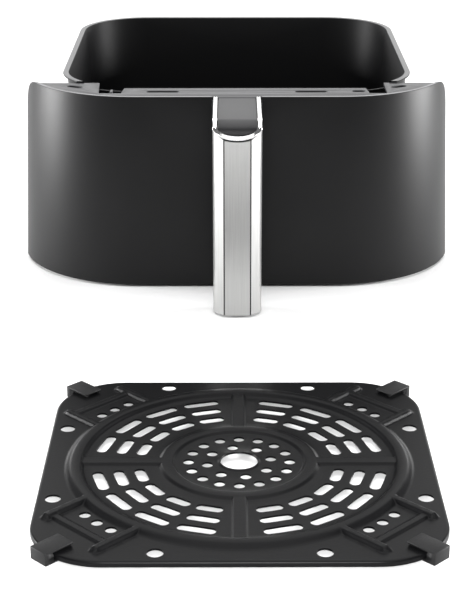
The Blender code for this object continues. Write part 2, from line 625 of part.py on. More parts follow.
def round_hole(centre, radius, steps=HOLE_STEPS):
    return arc(centre, radius, 0, 360 - 360 / steps, steps - 1)


def plate_holes():
    """Plan outlines of every slot and hole through the plate."""
    outermost = FIELD_R - SLOT_MARGIN
    rings = 1 + int((outermost - SLOT_RING_R) / SLOT_RING_PITCH + 0.01)
    for quarter in range(4):
        for ring in range(rings):
            radius = SLOT_RING_R + ring * SLOT_RING_PITCH
            for angle in SLOT_ANGLES:
                turn = angle + 90 * quarter
                centre = arc((0, 0), radius, turn, 0, 1)[0]
                yield slot_outline(radius * math.radians(SLOT_SWEEP), SLOT_WIDTH, centre, turn + 90)
        middle = 45 + 90 * quarter + CORNER_HOLE_TURN * (1 if quarter % 2 else -1)
        for step in (-CORNER_HOLE_STEP, 0, CORNER_HOLE_STEP):
            centre = arc((0, 0), STEP_FOOT_R + CORNER_HOLE_MARGIN, middle + step, 0, 1)[0]
            yield round_hole(centre, HUB_HOLE_R)
        for side in (-1, 1):
            centre = Vector((PLATE_HALF - EDGE_HOLE_INSET, side * EDGE_HOLE_OFFSET))
            centre = Matrix.Rotation(math.radians(90 * quarter), 2) @ centre
            yield round_hole(centre, EDGE_HOLE_R)
    for radius, count, first in HUB_RINGS:
        for number in range(count):
            centre = arc((0, 0), radius, first + 360 * number / count, 0, 1)[0]
            yield round_hole(centre, HUB_HOLE_R)
    yield round_hole((0, 0), CENTRE_HOLE_R, 2 * HOLE_STEPS)


def pressed_rib(bm, start, end, foot_width, land, height):
    """A straight raised rib between two plan points; its sides slope from the foot to the land."""
    ahead = (end - start).normalized()
    aside = Vector((-ahead.y, ahead.x))
    rings = []
    for width, z in ((foot_width, PLATE_TOP - PLATE_SHEET / 2), (land, PLATE_TOP + height)):
        inset = (foot_width - width) / 2
        ends = ((start + ahead * inset, -1), (end - ahead * inset, 1))
        corners = [place + aside * side * width / 2 for place, way in ends for side in (-way, way)]
        rings.append(level([(corner.x, corner.y) for corner in corners], z))
    stack(bm, rings)


def corner_point(quarter, out, aside):
    """Plan point this far out along a corner's diagonal and this far across it (minus: side edge)."""
    flip = -1 if quarter % 2 else 1
    turned = Matrix.Rotation(math.radians(90 * quarter + 45), 2)
    return turned @ Vector((out, aside * flip))


def make_crisper_plate(parent, finish):
    """Pressed sheet: turned-down edge, two raised rings, ribs, then every slot and hole cut through."""
    foot = PLATE_TOP - PLATE_SKIRT
    sheet = PLATE_SHEET
    relief = [(STEP_FOOT_R, 0), (STEP_TOP_R, STEP_HEIGHT), (STEP_TOP_R - STEP_LAND, STEP_HEIGHT),
              (FIELD_R, 0), (HUB_FOOT_R, 0), (HUB_EDGE_R, HUB_RING_HEIGHT),
              (HUB_TOP_R, HUB_RING_HEIGHT), (HUB_RING_R, 0)]
    bend = PLATE_TOP - PLATE_EDGE_R
    over = [level(plate_outline(sheet), foot), level(plate_outline(0), foot)]
    over += [level(plate_outline(0), bend), level(plate_outline(PLATE_EDGE_R), PLATE_TOP)]
    over += [level(plate_ring(radius), PLATE_TOP + height) for radius, height in relief]
    under = [level(plate_outline(sheet), bend),
             level(plate_outline(PLATE_EDGE_R + sheet / 2), PLATE_TOP - sheet)]
    under += [level(plate_ring(radius), PLATE_TOP + height - sheet) for radius, height in relief]
    plate = solid("crisper_plate", under[::-1] + over, parent, finish)

    ribs = bmesh.new()
    crossbars = bmesh.new()
    inside_step = STEP_TOP_R - STEP_LAND / 2
    for quarter in range(4):
        out = Matrix.Rotation(math.radians(90 * quarter), 2) @ Vector((1, 0))
        start = out * (HUB_TOP_R + HUB_EDGE_R) / 2
        pressed_rib(ribs, start, out * inside_step, RIB_FOOT, RIB_LAND, RIB_HEIGHT)
        for aside, past in ARMS:
            start = corner_point(quarter, math.sqrt(inside_step**2 - aside**2), aside)
            end = corner_point(quarter, CROSSBAR_U + past, aside)
            pressed_rib(ribs, start, end, CORNER_RIB_FOOT, CORNER_RIB_LAND, ARM_HEIGHT)
        ends = [corner_point(quarter, CROSSBAR_U, aside) for aside, past in ARMS]
        pressed_rib(crossbars, ends[0], ends[1], CORNER_RIB_FOOT, CORNER_RIB_LAND, RIB_HEIGHT)
    boolean(plate, add_object("plate_ribs", ribs, parent), "UNION")
    boolean(plate, add_object("plate_crossbars", crossbars, parent), "UNION")

    cutters = bmesh.new()
    for outline in plate_holes():
        stack(cutters, [level(outline, -ENDS_PAST), level(outline, PLATE_TOP + ENDS_PAST)])
    boolean(plate, add_object("plate_cutters", cutters, parent))
    return plate


def make_bumper(name, quarter, parent, finish):
    """A clip over one corner: a C in side view, turned to that corner's diagonal."""
    slot_floor = PLATE_TOP - PLATE_SKIRT - GAP
    slot_top = PLATE_TOP + GAP
    slot_end = PLATE_DIAGONAL + GAP
    inner = BUMPER_TIP - BUMPER_LENGTH
    points = [(inner, 0), (BUMPER_TIP, 0), (BUMPER_TIP, BUMPER_HEIGHT), (inner, BUMPER_HEIGHT),
              (inner, slot_top), (slot_end, slot_top), (slot_end, slot_floor), (inner, slot_floor)]
    turn = Matrix.Rotation(math.radians(90 * quarter + 45), 3, "Z")
    half = BUMPER_WIDTH / 2
    rings = [[turn @ Vector((u, w, z)) for u, z in points] for w in (-half, half)]
    return solid(name, rings, parent, finish)


# ---------------------------------------------------------------- the assembly
def main():
    clear_scene()
    shell_plastic = material("shell_plastic", (0.027, 0.027, 0.028), 0.42)
    trim_plastic = material("trim_plastic", (0.07, 0.07, 0.072), 0.4)
    frame_plastic = material("frame_plastic", (0.02, 0.02, 0.02), 0.6)
    insert_plastic = material("insert_plastic", (0.08, 0.08, 0.083), 0.45)
    coated_pan = material("coated_pan", (0.012, 0.012, 0.013), 0.35, 0.2)
    coated_plate = material("coated_plate", (0.024, 0.024, 0.025), 0.38, 0.2)
    brushed_steel = material("brushed_steel", (0.56, 0.56, 0.55), 0.3, 1.0)
    polished_chrome = material("polished_chrome", (0.8, 0.8, 0.8), 0.08, 1.0)
    zinc_steel = material("zinc_steel", (0.45, 0.45, 0.44), 0.4, 1.0)
    silicone = material("silicone", (0.013, 0.013, 0.013), 0.65)

    drawer = datum("drawer_datum", DRAWER_Y)
    make_pan(drawer, coated_pan)
    make_pan_bracket(drawer, zinc_steel)
    make_front_shell(drawer, shell_plastic)
    make_inner_frame(drawer, frame_plastic)
    make_top_trim(drawer, trim_plastic)
    make_handle_core(drawer, frame_plastic)
    make_handle_sleeve(drawer, brushed_steel)
    make_bezel(drawer, polished_chrome)
    make_thumb_insert(drawer, insert_plastic)
    make_handle_end_cap(drawer, frame_plastic)
    make_mount_plate(drawer, zinc_steel)
    make_screws(drawer, zinc_steel)

    plate = datum("plate_datum", DRAWER_Y + PLATE_CENTRE_Y)
    make_crisper_plate(plate, coated_plate)
    places = ("rear_right", "rear_left", "front_left", "front_right")
    for quarter, place in enumerate(places):
        make_bumper(f"bumper_{place}", quarter, plate, silicone)


main()
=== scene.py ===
"""Looks of an air fryer's drawer and its crisper plate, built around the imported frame.

Metres, +Z up, handle towards -Y. Sizes in millimetres are multiplied by MM.
"""

import math

import bmesh
import bpy
from mathutils import Matrix, Vector


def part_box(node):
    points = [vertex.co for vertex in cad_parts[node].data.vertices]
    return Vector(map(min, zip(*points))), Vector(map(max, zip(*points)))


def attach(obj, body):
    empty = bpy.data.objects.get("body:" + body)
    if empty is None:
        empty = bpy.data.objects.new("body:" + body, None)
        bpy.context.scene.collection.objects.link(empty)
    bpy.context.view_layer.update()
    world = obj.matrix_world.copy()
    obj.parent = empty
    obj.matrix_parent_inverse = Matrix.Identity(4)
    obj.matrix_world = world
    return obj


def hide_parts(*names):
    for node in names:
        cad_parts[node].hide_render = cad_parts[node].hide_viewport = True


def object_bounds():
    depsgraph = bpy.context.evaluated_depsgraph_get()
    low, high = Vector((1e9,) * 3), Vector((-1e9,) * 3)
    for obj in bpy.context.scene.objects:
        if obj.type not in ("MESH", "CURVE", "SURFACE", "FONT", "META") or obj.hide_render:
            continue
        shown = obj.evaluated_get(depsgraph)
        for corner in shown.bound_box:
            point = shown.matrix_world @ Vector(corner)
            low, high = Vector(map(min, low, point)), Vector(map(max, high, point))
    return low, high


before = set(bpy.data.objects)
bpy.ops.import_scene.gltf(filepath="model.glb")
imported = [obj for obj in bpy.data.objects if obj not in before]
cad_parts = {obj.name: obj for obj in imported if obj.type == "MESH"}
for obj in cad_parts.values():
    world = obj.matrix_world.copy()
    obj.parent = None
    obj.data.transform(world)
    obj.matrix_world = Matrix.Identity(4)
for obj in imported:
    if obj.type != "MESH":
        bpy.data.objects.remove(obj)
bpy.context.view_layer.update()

MM = 0.001
MERGE = 0.002 * MM        # vertices closer than this are one
PAST = 6 * MM             # how far a cutter runs past what it cuts
STRAIGHT_UP = Vector((0, 0, 1))

# Drawer front: its wall, lip and the round of its wings' upper corners
FRONT_HALF_FLAT = 67.8 * MM
FRONT_FLARE = 5.5 * MM
FRONT_WALL = 2.5 * MM
WING_TOP_R = 18 * MM
CORNER_TURN = 80          # degrees each corner is turned before its wing is cut off
LIP_ROUND = 0.6 * MM
NECK_SIDE_GAP = 0.8 * MM
MOUNT_PLATE_LAP = 7 * MM  # how far the plate behind the neck reaches past the neck

# Pan: pressed from sheet, with a flat rim turned out
PAN_SHEET = 1.2 * MM
PAN_CORNER_R = 50 * MM
PAN_FLANGE = 2.8 * MM
PAN_DRAFT = 8 * MM
PAN_BASE_R = 12 * MM
RIM_ROUND = 0.5 * MM
PAN_SHORTER = 4 * MM      # its depth over the rim, less than its width by this
LEDGE_GAP = 0.3 * MM      # between the ledge and the rim that is cut away for it

# Handle
BAR_CHAMFER = 7 * MM
SLEEVE_SHEET = 1.2 * MM
ARRIS_ROUND = 0.5 * MM    # outside round of the sleeve's front bends
FOLD_LINE = 0.7 * MM      # width of the scored line along each front bend
FOLD_TURN = 22.5          # degrees, half the bend there
SIDE_ROUND = 3.2 * MM     # the same where the chamfers turn into its sides
BEND_R = 9 * MM           # outside of the bend between neck and bar
COVER_SHEET = 2.8 * MM
BEZEL_WIDTH = 3 * MM
BEZEL_ROUND = 0.7 * MM
BEZEL_LINE = 0.3 * MM     # half width and depth of the fine line along its middle
BEZEL_STRAIGHT = 4.3 * MM
BEZEL_DROP = 8.4 * MM
INSERT_DROP = 0.8 * MM
INSERT_GAP = 0.3 * MM
INSERT_ROUND = 0.4 * MM
SHADOW_GAP = 0.8 * MM     # between the bezel's round end and the sleeve

# Crisper plate: pressed relief, as (radius, height above the plate's flat)
PLATE_SHEET = 1.0 * MM
PLATE_SKIRT = 2.8 * MM
PLATE_EDGE_R = 1.2 * MM
PLATE_CORNER_R = 37 * MM
BUMPER_OVER_PLATE = 2.4 * MM
BUMPER_LENGTH = 17 * MM
BUMPER_WIDTH = 11.4 * MM
BUMPER_ROUND = 0.5 * MM
BUMPER_HEEL = 4.5 * MM    # solid part behind its outer end
BUMPER_CHEEK = 2.6 * MM   # solid parts beside the opening at its inner end
UNDERCUT = (0.1 * MM, 1.5 * MM, 1.3 * MM)  # above the sheet, height, depth
STEP_HEIGHT = 2.2 * MM
STEP = (80 * MM, 82.5 * MM, 86.5 * MM, 90.7 * MM)
HUB_HEIGHT = 1.2 * MM
HUB = (33 * MM, 35 * MM, 39.7 * MM, 42.3 * MM)
CENTRE_HOLE_R = 10 * MM
CENTRE_LIP_HEIGHT = 0.8 * MM
CENTRE_LIP = 1.6 * MM
RIB_HEIGHT = 1.1 * MM
RIB_LAND = 2.8 * MM       # half widths, on top and at the foot
RIB_FOOT = 4.2 * MM
ARM_HEIGHT = 2.1 * MM
ARM_LAND = 1.4 * MM
ARM_FOOT = 3.2 * MM
ARMS = ((-24.8 * MM, 6 * MM), (16 * MM, 10 * MM))  # place across the diagonal, reach past the crossbar
CROSSBAR_U = 104.7 * MM
SLOT_RINGS = (52 * MM, 62.7 * MM, 73.4 * MM)
SLOT_ANGLES = (16.5, 35.5, 54.5, 73.5)
SLOT_SWEEP = 15.6
SLOT_WIDTH = 6 * MM
SMALL_HOLE_R = 3 * MM
HUB_RINGS = ((16.8 * MM, 8, 11.5), (26.3 * MM, 16, 0.0))
CORNER_HOLES = (94.1 * MM, 42.9, 6.1)  # ring, middle and step in degrees, from the side's middle line
EDGE_HOLE_R = 4.1 * MM
EDGE_HOLE = (8.4 * MM, 39.7 * MM)  # in from the edge, off the side's middle

# Facets of round pieces
CORNER_STEPS = 28
WING_STEPS = 16
LIP_STEPS = 4
BASE_STEPS = 8
ARRIS_STEPS = 6
BEZEL_STEPS = 4
HOLE_STEPS = 20
BEND_STEPS = 20
PLATE_STEPS = 360
SLOPE_STEPS = 5           # across each of the plate's pressed slopes
HUB_LINES = (20 * MM, 27 * MM)  # rings of the sheet's mesh inside the hub ring
FIELD_LINES = (47 * MM, 52 * MM, 57 * MM, 62 * MM, 67 * MM, 72 * MM, 76 * MM)  # and outside it
OUTER_LINES = 30          # and from the raised step to the edge

# Angles between faces, in degrees
SHARP = 38                # shaded as an edge past this
PLATE_SHARP = 50
MOULDED_EDGE = 30         # rounded past this
SQUARE_EDGE = 60
SAME_FACE = 1             # flat enough to be one face


# ---------------------------------------------------------------- mesh helpers
def start(*points):
    """A bmesh that holds one face through these points."""
    bm = bmesh.new()
    bm.faces.new([bm.verts.new(point) for point in points])
    return bm


def finish_piece(bm, name, body, replaced, sharp=SHARP):
    """Turns a bmesh into a named piece that rides on a body."""
    bmesh.ops.remove_doubles(bm, verts=bm.verts, dist=MERGE)
    bmesh.ops.recalc_face_normals(bm, faces=bm.faces)
    mesh = bpy.data.meshes.new(name)
    bm.to_mesh(mesh)
    bm.free()
    mesh.shade_smooth()
    mesh.set_sharp_from_angle(angle=math.radians(sharp))
    piece = bpy.data.objects.new(name, mesh)
    bpy.context.scene.collection.objects.link(piece)
    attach(piece, body)
    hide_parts(*replaced)
    return piece


def carve(bm, cutter):
    """Cuts one closed bmesh out of another and returns the result."""
    objects = []
    for name, source in (("carved", bm), ("carver", cutter)):
        bmesh.ops.recalc_face_normals(source, faces=source.faces)
        mesh = bpy.data.meshes.new(name)
        source.to_mesh(mesh)
        source.free()
        made = bpy.data.objects.new(name, mesh)
        bpy.context.scene.collection.objects.link(made)
        objects.append(made)
    modifier = objects[0].modifiers.new("carve", "BOOLEAN")
    modifier.operation = "DIFFERENCE"
    modifier.object = objects[1]
    modifier.solver = "EXACT"
    bpy.context.view_layer.update()
    result = objects[0].evaluated_get(bpy.context.evaluated_depsgraph_get())
    out = bmesh.new()
    out.from_mesh(result.to_mesh())
    result.to_mesh_clear()
    for made in objects:
        mesh = made.data
        bpy.data.objects.remove(made)
        bpy.data.meshes.remove(mesh)
    return out


def extrude_by(bm, faces, move):
    """Extrudes faces by a vector and returns the new vertices."""
    made = bmesh.ops.extrude_face_region(bm, geom=faces)["geom"]
    verts = [item for item in made if isinstance(item, bmesh.types.BMVert)]
    bmesh.ops.translate(bm, verts=verts, vec=move)
    return verts


def block(low, high):
    """A closed box between two corners."""
    bm = bmesh.new()
    bmesh.ops.create_cube(bm, size=1)
    low, high = Vector(low), Vector(high)
    bmesh.ops.scale(bm, verts=bm.verts, vec=high - low)
    bmesh.ops.translate(bm, verts=bm.verts, vec=(low + high) / 2)
    return bm


def round_edges(bm, edges, width, segments=2):
    bmesh.ops.bevel(bm, geom=edges, offset=width, offset_type="OFFSET", segments=segments, profile=0.5,
                    affect="EDGES", material=-1, clamp_overlap=True)


def sharp_edges(bm, degrees):
    """Edges where two faces turn by more than this."""
    limit = math.radians(degrees)
    return [edge for edge in bm.edges if len(edge.link_faces) == 2 and edge.calc_face_angle() > limit]


def rounded_copy(name, width):
    """A copy of a CAD node's shape with its sharp edges rounded."""
    bm = bmesh.new()
    bm.from_mesh(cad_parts[name].data)
    bmesh.ops.remove_doubles(bm, verts=bm.verts, dist=MERGE)
    bmesh.ops.dissolve_limit(bm, angle_limit=math.radians(SAME_FACE), verts=bm.verts, edges=bm.edges)
    round_edges(bm, sharp_edges(bm, MOULDED_EDGE), width)
    return bm


def softened(name, width):
    """A CAD node of the drawer with its moulding or press rounds."""
    return finish_piece(rounded_copy(name, width), name + "_finished", "drawer", [name])


def cut_away(bm, point, normal):
    """Cuts off everything on the normal's side of a plane and closes the cut."""
    geometry = bm.verts[:] + bm.edges[:] + bm.faces[:]
    cut = bmesh.ops.bisect_plane(bm, geom=geometry, dist=MERGE, plane_co=point, plane_no=normal,
                                 clear_outer=True)["geom_cut"]
    edges = [item for item in cut if isinstance(item, bmesh.types.BMEdge)]
    bmesh.ops.edgeloop_fill(bm, edges=edges)


# ---------------------------------------------------------------- materials
def colour(code):
    """An sRGB hex colour as linear values."""
    parts = [int(code[i:i + 2], 16) / 255 for i in (1, 3, 5)]
    linear = [c / 12.92 if c <= 0.04045 else ((c + 0.055) / 1.055) ** 2.4 for c in parts]
    return (*linear, 1.0)


def node(tree, kind, links=None, **settings):
    """Adds a node: settings are its properties or, by socket name, its inputs; links feed its inputs."""
    made = tree.nodes.new(kind)
    for key, value in settings.items():
        if hasattr(made, key):
            setattr(made, key, value)
        else:
            made.inputs[key.replace("_", " ")].default_value = value
    for socket, source in (links or {}).items():
        tree.links.new(source, made.inputs[socket])
    return made


def new_material(name):
    made = bpy.data.materials.new(name)
    made.use_nodes = True
    tree = made.node_tree
    tree.nodes.clear()
    place = node(tree, "ShaderNodeTexCoord").outputs["Object"]
    return made, tree, place


def close_material(tree, shader):
    output = node(tree, "ShaderNodeOutputMaterial")
    tree.links.new(shader.outputs[0], output.inputs["Surface"])


def per_mm(size):
    """Noise scale for features of this many millimetres."""
    return 1 / (size * MM)


def textured(name, dark, light, roughness, grain, depth, patch=25.0, **shader_settings):
    """A dull solid: colour drifts slowly over patches, and a fine grain breaks up the gloss."""
    made, tree, place = new_material(name)
    drift = node(tree, "ShaderNodeTexNoise", {"Vector": place}, Scale=per_mm(patch), Detail=3.0)
    tint = node(tree, "ShaderNodeMix", {"Factor": drift.outputs["Fac"]}, data_type="RGBA")
    tint.inputs[6].default_value = colour(dark)
    tint.inputs[7].default_value = colour(light)
    fine = node(tree, "ShaderNodeTexNoise", {"Vector": place}, Scale=per_mm(grain), Detail=2.0)
    gloss = node(tree, "ShaderNodeMapRange", {"Value": fine.outputs["Fac"]},
                 To_Min=roughness[0], To_Max=roughness[1])
    bump = node(tree, "ShaderNodeBump", {"Height": fine.outputs["Fac"]}, Strength=1.0, Distance=depth * MM)
    shader = node(tree, "ShaderNodeBsdfPrincipled",
                  {"Base Color": tint.outputs[2], "Roughness": gloss.outputs[0], "Normal": bump.outputs[0]},
                  **shader_settings)
    close_material(tree, shader)
    return made


def spark_textured_abs():
    """Injection-moulded ABS from a spark-eroded mould: an even, dull charcoal with a very fine grain
    (about 0.4 mm) that spreads the side lights into a soft band round each corner."""
    return textured("spark_textured_abs", "#0d0d0e", "#111112", (0.38, 0.46), 0.5, 0.012,
                    Specular_IOR_Level=0.22)


def ledge_plastic_painted_sheen():
    """Moulded polypropylene of the ledge: its mid grey base colour is a painted sheen, standing in for the
    studio shining along it at a grazing angle.
    """
    return textured("ledge_plastic_painted_sheen", "#39393b", "#424244", (0.3, 0.38), 0.6, 0.008,
                    Specular_IOR_Level=0.4)


def lip_painted_highlight():
    """The shell's own ABS on the lip's narrow top land, glossier and given a mid grey base colour: a painted
    highlight for the thin bright line where it catches the studio behind it."""
    return textured("lip_painted_highlight", "#747476", "#7c7c7e", (0.2, 0.28), 0.8, 0.002, Specular_IOR_Level=1.0)


def glass_filled_nylon():
    """Structural plastic inside the front and the handle: black, with a slightly frosted surface. The same
    black is laid on the faces of the steel sleeve's scored lines as painted shade.
    """
    return textured("glass_filled_nylon", "#131314", "#1b1b1c", (0.5, 0.62), 0.8, 0.02)


def soft_touch_insert():
    """Soft-touch coated insert under the thumb: a dull grey that lightens where it turns up."""
    return textured("soft_touch_insert", "#262628", "#2c2c2e", (0.42, 0.5), 0.3, 0.004)


def moulded_silicone():
    """Moulded silicone rubber: black and dull."""
    return textured("moulded_silicone", "#09090a", "#0e0e0f", (0.5, 0.65), 1.2, 0.03,
                    Specular_IOR_Level=0.25)


def baked_nonstick(name, dark, light, roughness, shine):
    """Sprayed and baked non-stick coating: near black, with orange peel of about 1.5 mm, and mineral
    flecks of about 0.5 mm drawn slightly coarser than they are so that they show."""
    made, tree, place = new_material(name)
    flecks = node(tree, "ShaderNodeTexVoronoi", {"Vector": place}, Scale=per_mm(0.7))
    near = node(tree, "ShaderNodeMapRange", {"Value": flecks.outputs["Distance"]},
                From_Min=0.1, From_Max=0.25, To_Min=1.0, To_Max=0.0)
    tint = node(tree, "ShaderNodeMix", {"Factor": near.outputs[0]}, data_type="RGBA")
    tint.inputs[6].default_value = colour(dark)
    tint.inputs[7].default_value = colour(light)
    peel = node(tree, "ShaderNodeTexNoise", {"Vector": place}, Scale=per_mm(1.5), Detail=2.0)
    gloss = node(tree, "ShaderNodeMapRange", {"Value": peel.outputs["Fac"]},
                 To_Min=roughness[0], To_Max=roughness[1])
    bump = node(tree, "ShaderNodeBump", {"Height": peel.outputs["Fac"]}, Strength=1.0, Distance=0.03 * MM)
    shader = node(tree, "ShaderNodeBsdfPrincipled",
                  {"Base Color": tint.outputs[2], "Roughness": gloss.outputs[0], "Normal": bump.outputs[0]},
                  Specular_IOR_Level=shine)
    close_material(tree, shader)
    return made


def brushed_stainless():
    """Stainless sheet brushed lengthwise: fine upright lines about 0.25 mm apart, drawn coarser than a
    real belt's so that they show, which stretch the highlights across the bar."""
    made, tree, place = new_material("brushed_stainless")
    stretch = node(tree, "ShaderNodeMapping", {"Vector": place}, Scale=(1.0, 1.0, 0.012))
    lines = node(tree, "ShaderNodeTexNoise", {"Vector": stretch.outputs[0]}, Scale=per_mm(0.35), Detail=4.0)
    tint = node(tree, "ShaderNodeMix", {"Factor": lines.outputs["Fac"]}, data_type="RGBA")
    tint.inputs[6].default_value = colour("#9c9c9b")
    tint.inputs[7].default_value = colour("#b8b8b7")
    gloss = node(tree, "ShaderNodeMapRange", {"Value": lines.outputs["Fac"]}, To_Min=0.3, To_Max=0.42)
    bump = node(tree, "ShaderNodeBump", {"Height": lines.outputs["Fac"]}, Strength=1.0, Distance=0.004 * MM)
    shader = node(tree, "ShaderNodeBsdfPrincipled",
                  {"Base Color": tint.outputs[2], "Roughness": gloss.outputs[0], "Normal": bump.outputs[0]},
                  Metallic=1.0)
    close_material(tree, shader)
    return made


def polished_chrome():
    """Chrome plating over a polished moulding: a near mirror with faint handling haze."""
    made, tree, place = new_material("polished_chrome")
    haze = node(tree, "ShaderNodeTexNoise", {"Vector": place}, Scale=per_mm(6), Detail=3.0)
    gloss = node(tree, "ShaderNodeMapRange", {"Value": haze.outputs["Fac"]}, To_Min=0.06, To_Max=0.14)
    shader = node(tree, "ShaderNodeBsdfPrincipled", {"Roughness": gloss.outputs[0]}, Metallic=1.0,
                  Base_Color=colour("#f0f0f0"))
    close_material(tree, shader)
    return made


def zinc_plated_steel():
    """Bright zinc on pressed steel: bluish grey, mottled in patches of a few millimetres."""
    made, tree, place = new_material("zinc_plated_steel")
    spangle = node(tree, "ShaderNodeTexVoronoi", {"Vector": place}, Scale=per_mm(4))
    tint = node(tree, "ShaderNodeMix", {"Factor": spangle.outputs["Distance"]}, data_type="RGBA")
    tint.inputs[6].default_value = colour("#a9adb0")
    tint.inputs[7].default_value = colour("#c3c6c8")
    gloss = node(tree, "ShaderNodeMapRange", {"Value": spangle.outputs["Distance"]}, To_Min=0.28, To_Max=0.45)
    shader = node(tree, "ShaderNodeBsdfPrincipled",
                  {"Base Color": tint.outputs[2], "Roughness": gloss.outputs[0]}, Metallic=1.0)
    close_material(tree, shader)
    return made


def studio_floor():
    """Pale seamless paper."""
    made, tree = new_material("studio_paper")[:2]
    shader = node(tree, "ShaderNodeBsdfPrincipled", Roughness=0.9, Base_Color=colour("#f4f4f4"))
    close_material(tree, shader)
    return made


def paint(piece, *finishes):
    """Gives a piece its finishes, in the order of its faces' material numbers."""
    if piece.data.materials:
        piece.data.materials.clear()
    for finish in finishes:
        piece.data.materials.append(finish)


# ---------------------------------------------------------------- the drawer front
def front_cover():
    """The outer shell: one wall profile run along the flat, turned round each corner and trimmed."""
    low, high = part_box("front_shell")
    face = low.y + FRONT_FLARE
    corner_r = wing_corner_radius(low, high)
    axis = Vector((FRONT_HALF_FLAT, face + corner_r, 0))
    profile = [(low.y, low.z), (face, high.z), (face + FRONT_WALL, high.z), (low.y + FRONT_WALL, low.z)]
    bm = start(*[(0, y, z) for y, z in profile])
    bmesh.ops.bevel(bm, geom=bm.verts[:], offset=LIP_ROUND, segments=LIP_STEPS, profile=0.5,
                    affect="VERTICES", material=-1)
    verts = extrude_by(bm, bm.faces[:], (FRONT_HALF_FLAT, 0, 0))
    end = [f for f in bm.faces if all(v in verts for v in f.verts)]
    bmesh.ops.spin(bm, geom=end, cent=axis, axis=STRAIGHT_UP, angle=math.radians(CORNER_TURN),
                   steps=CORNER_STEPS, use_merge=False)
    for x in (FRONT_HALF_FLAT, 0):
        for inner in [f for f in bm.faces if all(abs(v.co.x - x) < MERGE for v in f.verts)]:
            bm.faces.remove(inner)
    cut_away(bm, (0, high.y, 0), (0, 1, 0))
    centre = Vector((0, high.y - WING_TOP_R, high.z - WING_TOP_R))
    for number in range(1, WING_STEPS):
        turn = math.radians(90 * number / WING_STEPS)
        away = Vector((0, math.cos(turn), math.sin(turn)))
        cut_away(bm, centre + away * WING_TOP_R, away)
    bmesh.ops.mirror(bm, geom=bm.verts[:] + bm.edges[:] + bm.faces[:], axis="X", merge_dist=MERGE)
    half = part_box("handle_core")[1].x + NECK_SIDE_GAP
    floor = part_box("handle_mount_plate")[0].z + MOUNT_PLATE_LAP - NECK_SIDE_GAP
    slot = block((-half, low.y - PAST, floor), (half, face + FRONT_WALL + PAST, high.z + PAST))
    bm = carve(bm, slot)
    # The lip's narrow top land takes the second, lighter finish: a painted highlight for the thin bright line
    # along it.
    for lip in bm.faces:
        if lip.normal.z > 0.8 and lip.calc_center_median().z > high.z - LIP_ROUND:
            lip.material_index = 1
    return finish_piece(bm, "front_cover", "drawer", ["front_shell"])


def wing_corner_radius(low, high):
    """Plan radius of the round corners' top edge, from how far the wings reach sideways."""
    foot_half = high.x - FRONT_HALF_FLAT
    depth = high.y - low.y - FRONT_FLARE
    # foot_half is (r + flare) * sin(turn), where (r + flare) * cos(turn) = r - depth
    return (foot_half**2 + depth**2 - FRONT_FLARE**2) / (2 * (depth + FRONT_FLARE))


# ---------------------------------------------------------------- the pan
def pan_outward(vert, low, high, radius):
    """Plan direction square to the pan's wall at a vertex."""
    middle = (low + high) / 2
    flat = Vector(((high.x - low.x) / 2 - radius, (high.y - low.y) / 2 - radius))
    place = Vector((vert.co.x - middle.x, vert.co.y - middle.y))
    nearest = Vector((min(max(place.x, -flat.x), flat.x), min(max(place.y, -flat.y), flat.y)))
    away = place - nearest
    return Vector((away.x, away.y, 0)).normalized()


def deep_pan():
    """A drawn pan: tapered walls, wide corner rounds, a flat rim turned out."""
    low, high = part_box("pan")
    low.y = high.y - (high.x - low.x) + PAN_SHORTER
    wall_top = high.z - PAN_SHEET
    bm = block((low.x + PAN_FLANGE, low.y + PAN_FLANGE, low.z),
               (high.x - PAN_FLANGE, high.y - PAN_FLANGE, wall_top))
    bm.faces.remove(max(bm.faces, key=lambda f: f.calc_center_median().z))
    upright = [e for e in bm.edges if abs(e.verts[0].co.z - e.verts[1].co.z) > PAN_SHEET]
    round_edges(bm, upright, PAN_CORNER_R - PAN_FLANGE, CORNER_STEPS)
    for vert in bm.verts:
        if vert.co.z < low.z + MERGE:
            vert.co -= pan_outward(vert, low, high, PAN_CORNER_R) * PAN_DRAFT
    foot = [e for e in bm.edges if all(v.co.z < low.z + MERGE for v in e.verts)]
    round_edges(bm, foot, PAN_BASE_R, BASE_STEPS)
    rim = [e for e in bm.edges if e.is_boundary]
    out = bmesh.ops.extrude_edge_only(bm, edges=rim)["geom"]
    for vert in [item for item in out if isinstance(item, bmesh.types.BMVert)]:
        vert.co += pan_outward(vert, low, high, PAN_CORNER_R) * PAN_FLANGE
    bmesh.ops.recalc_face_normals(bm, faces=bm.faces)
    base = [f for f in bm.faces if f.calc_center_median().z < low.z + PAN_SHEET]
    if sum(f.normal.z * f.calc_area() for f in base) > 0:
        bmesh.ops.reverse_faces(bm, faces=bm.faces)
    bmesh.ops.solidify(bm, geom=bm.faces[:], thickness=PAN_SHEET)
    rim = [e for e in sharp_edges(bm, SQUARE_EDGE) if min(v.co.z for v in e.verts) > wall_top - PAN_SHEET]
    round_edges(bm, rim, RIM_ROUND)
    ledge_low, ledge_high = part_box("top_trim")
    cutter = block((low.x - PAST, low.y - PAST, ledge_low.z - LEDGE_GAP),
                   (high.x + PAST, ledge_high.y + LEDGE_GAP, high.z + PAST))
    bm = carve(bm, cutter)
    # The rim's upward faces take the second, lighter coat: a painted sheen for the rim's grazing reflection
    # of the studio.
    for face in bm.faces:
        if face.normal.z > 0.5 and face.calc_center_median().z > wall_top - PAN_SHEET:
            face.material_index = 1
    return finish_piece(bm, "deep_pan", "drawer", ["pan"])


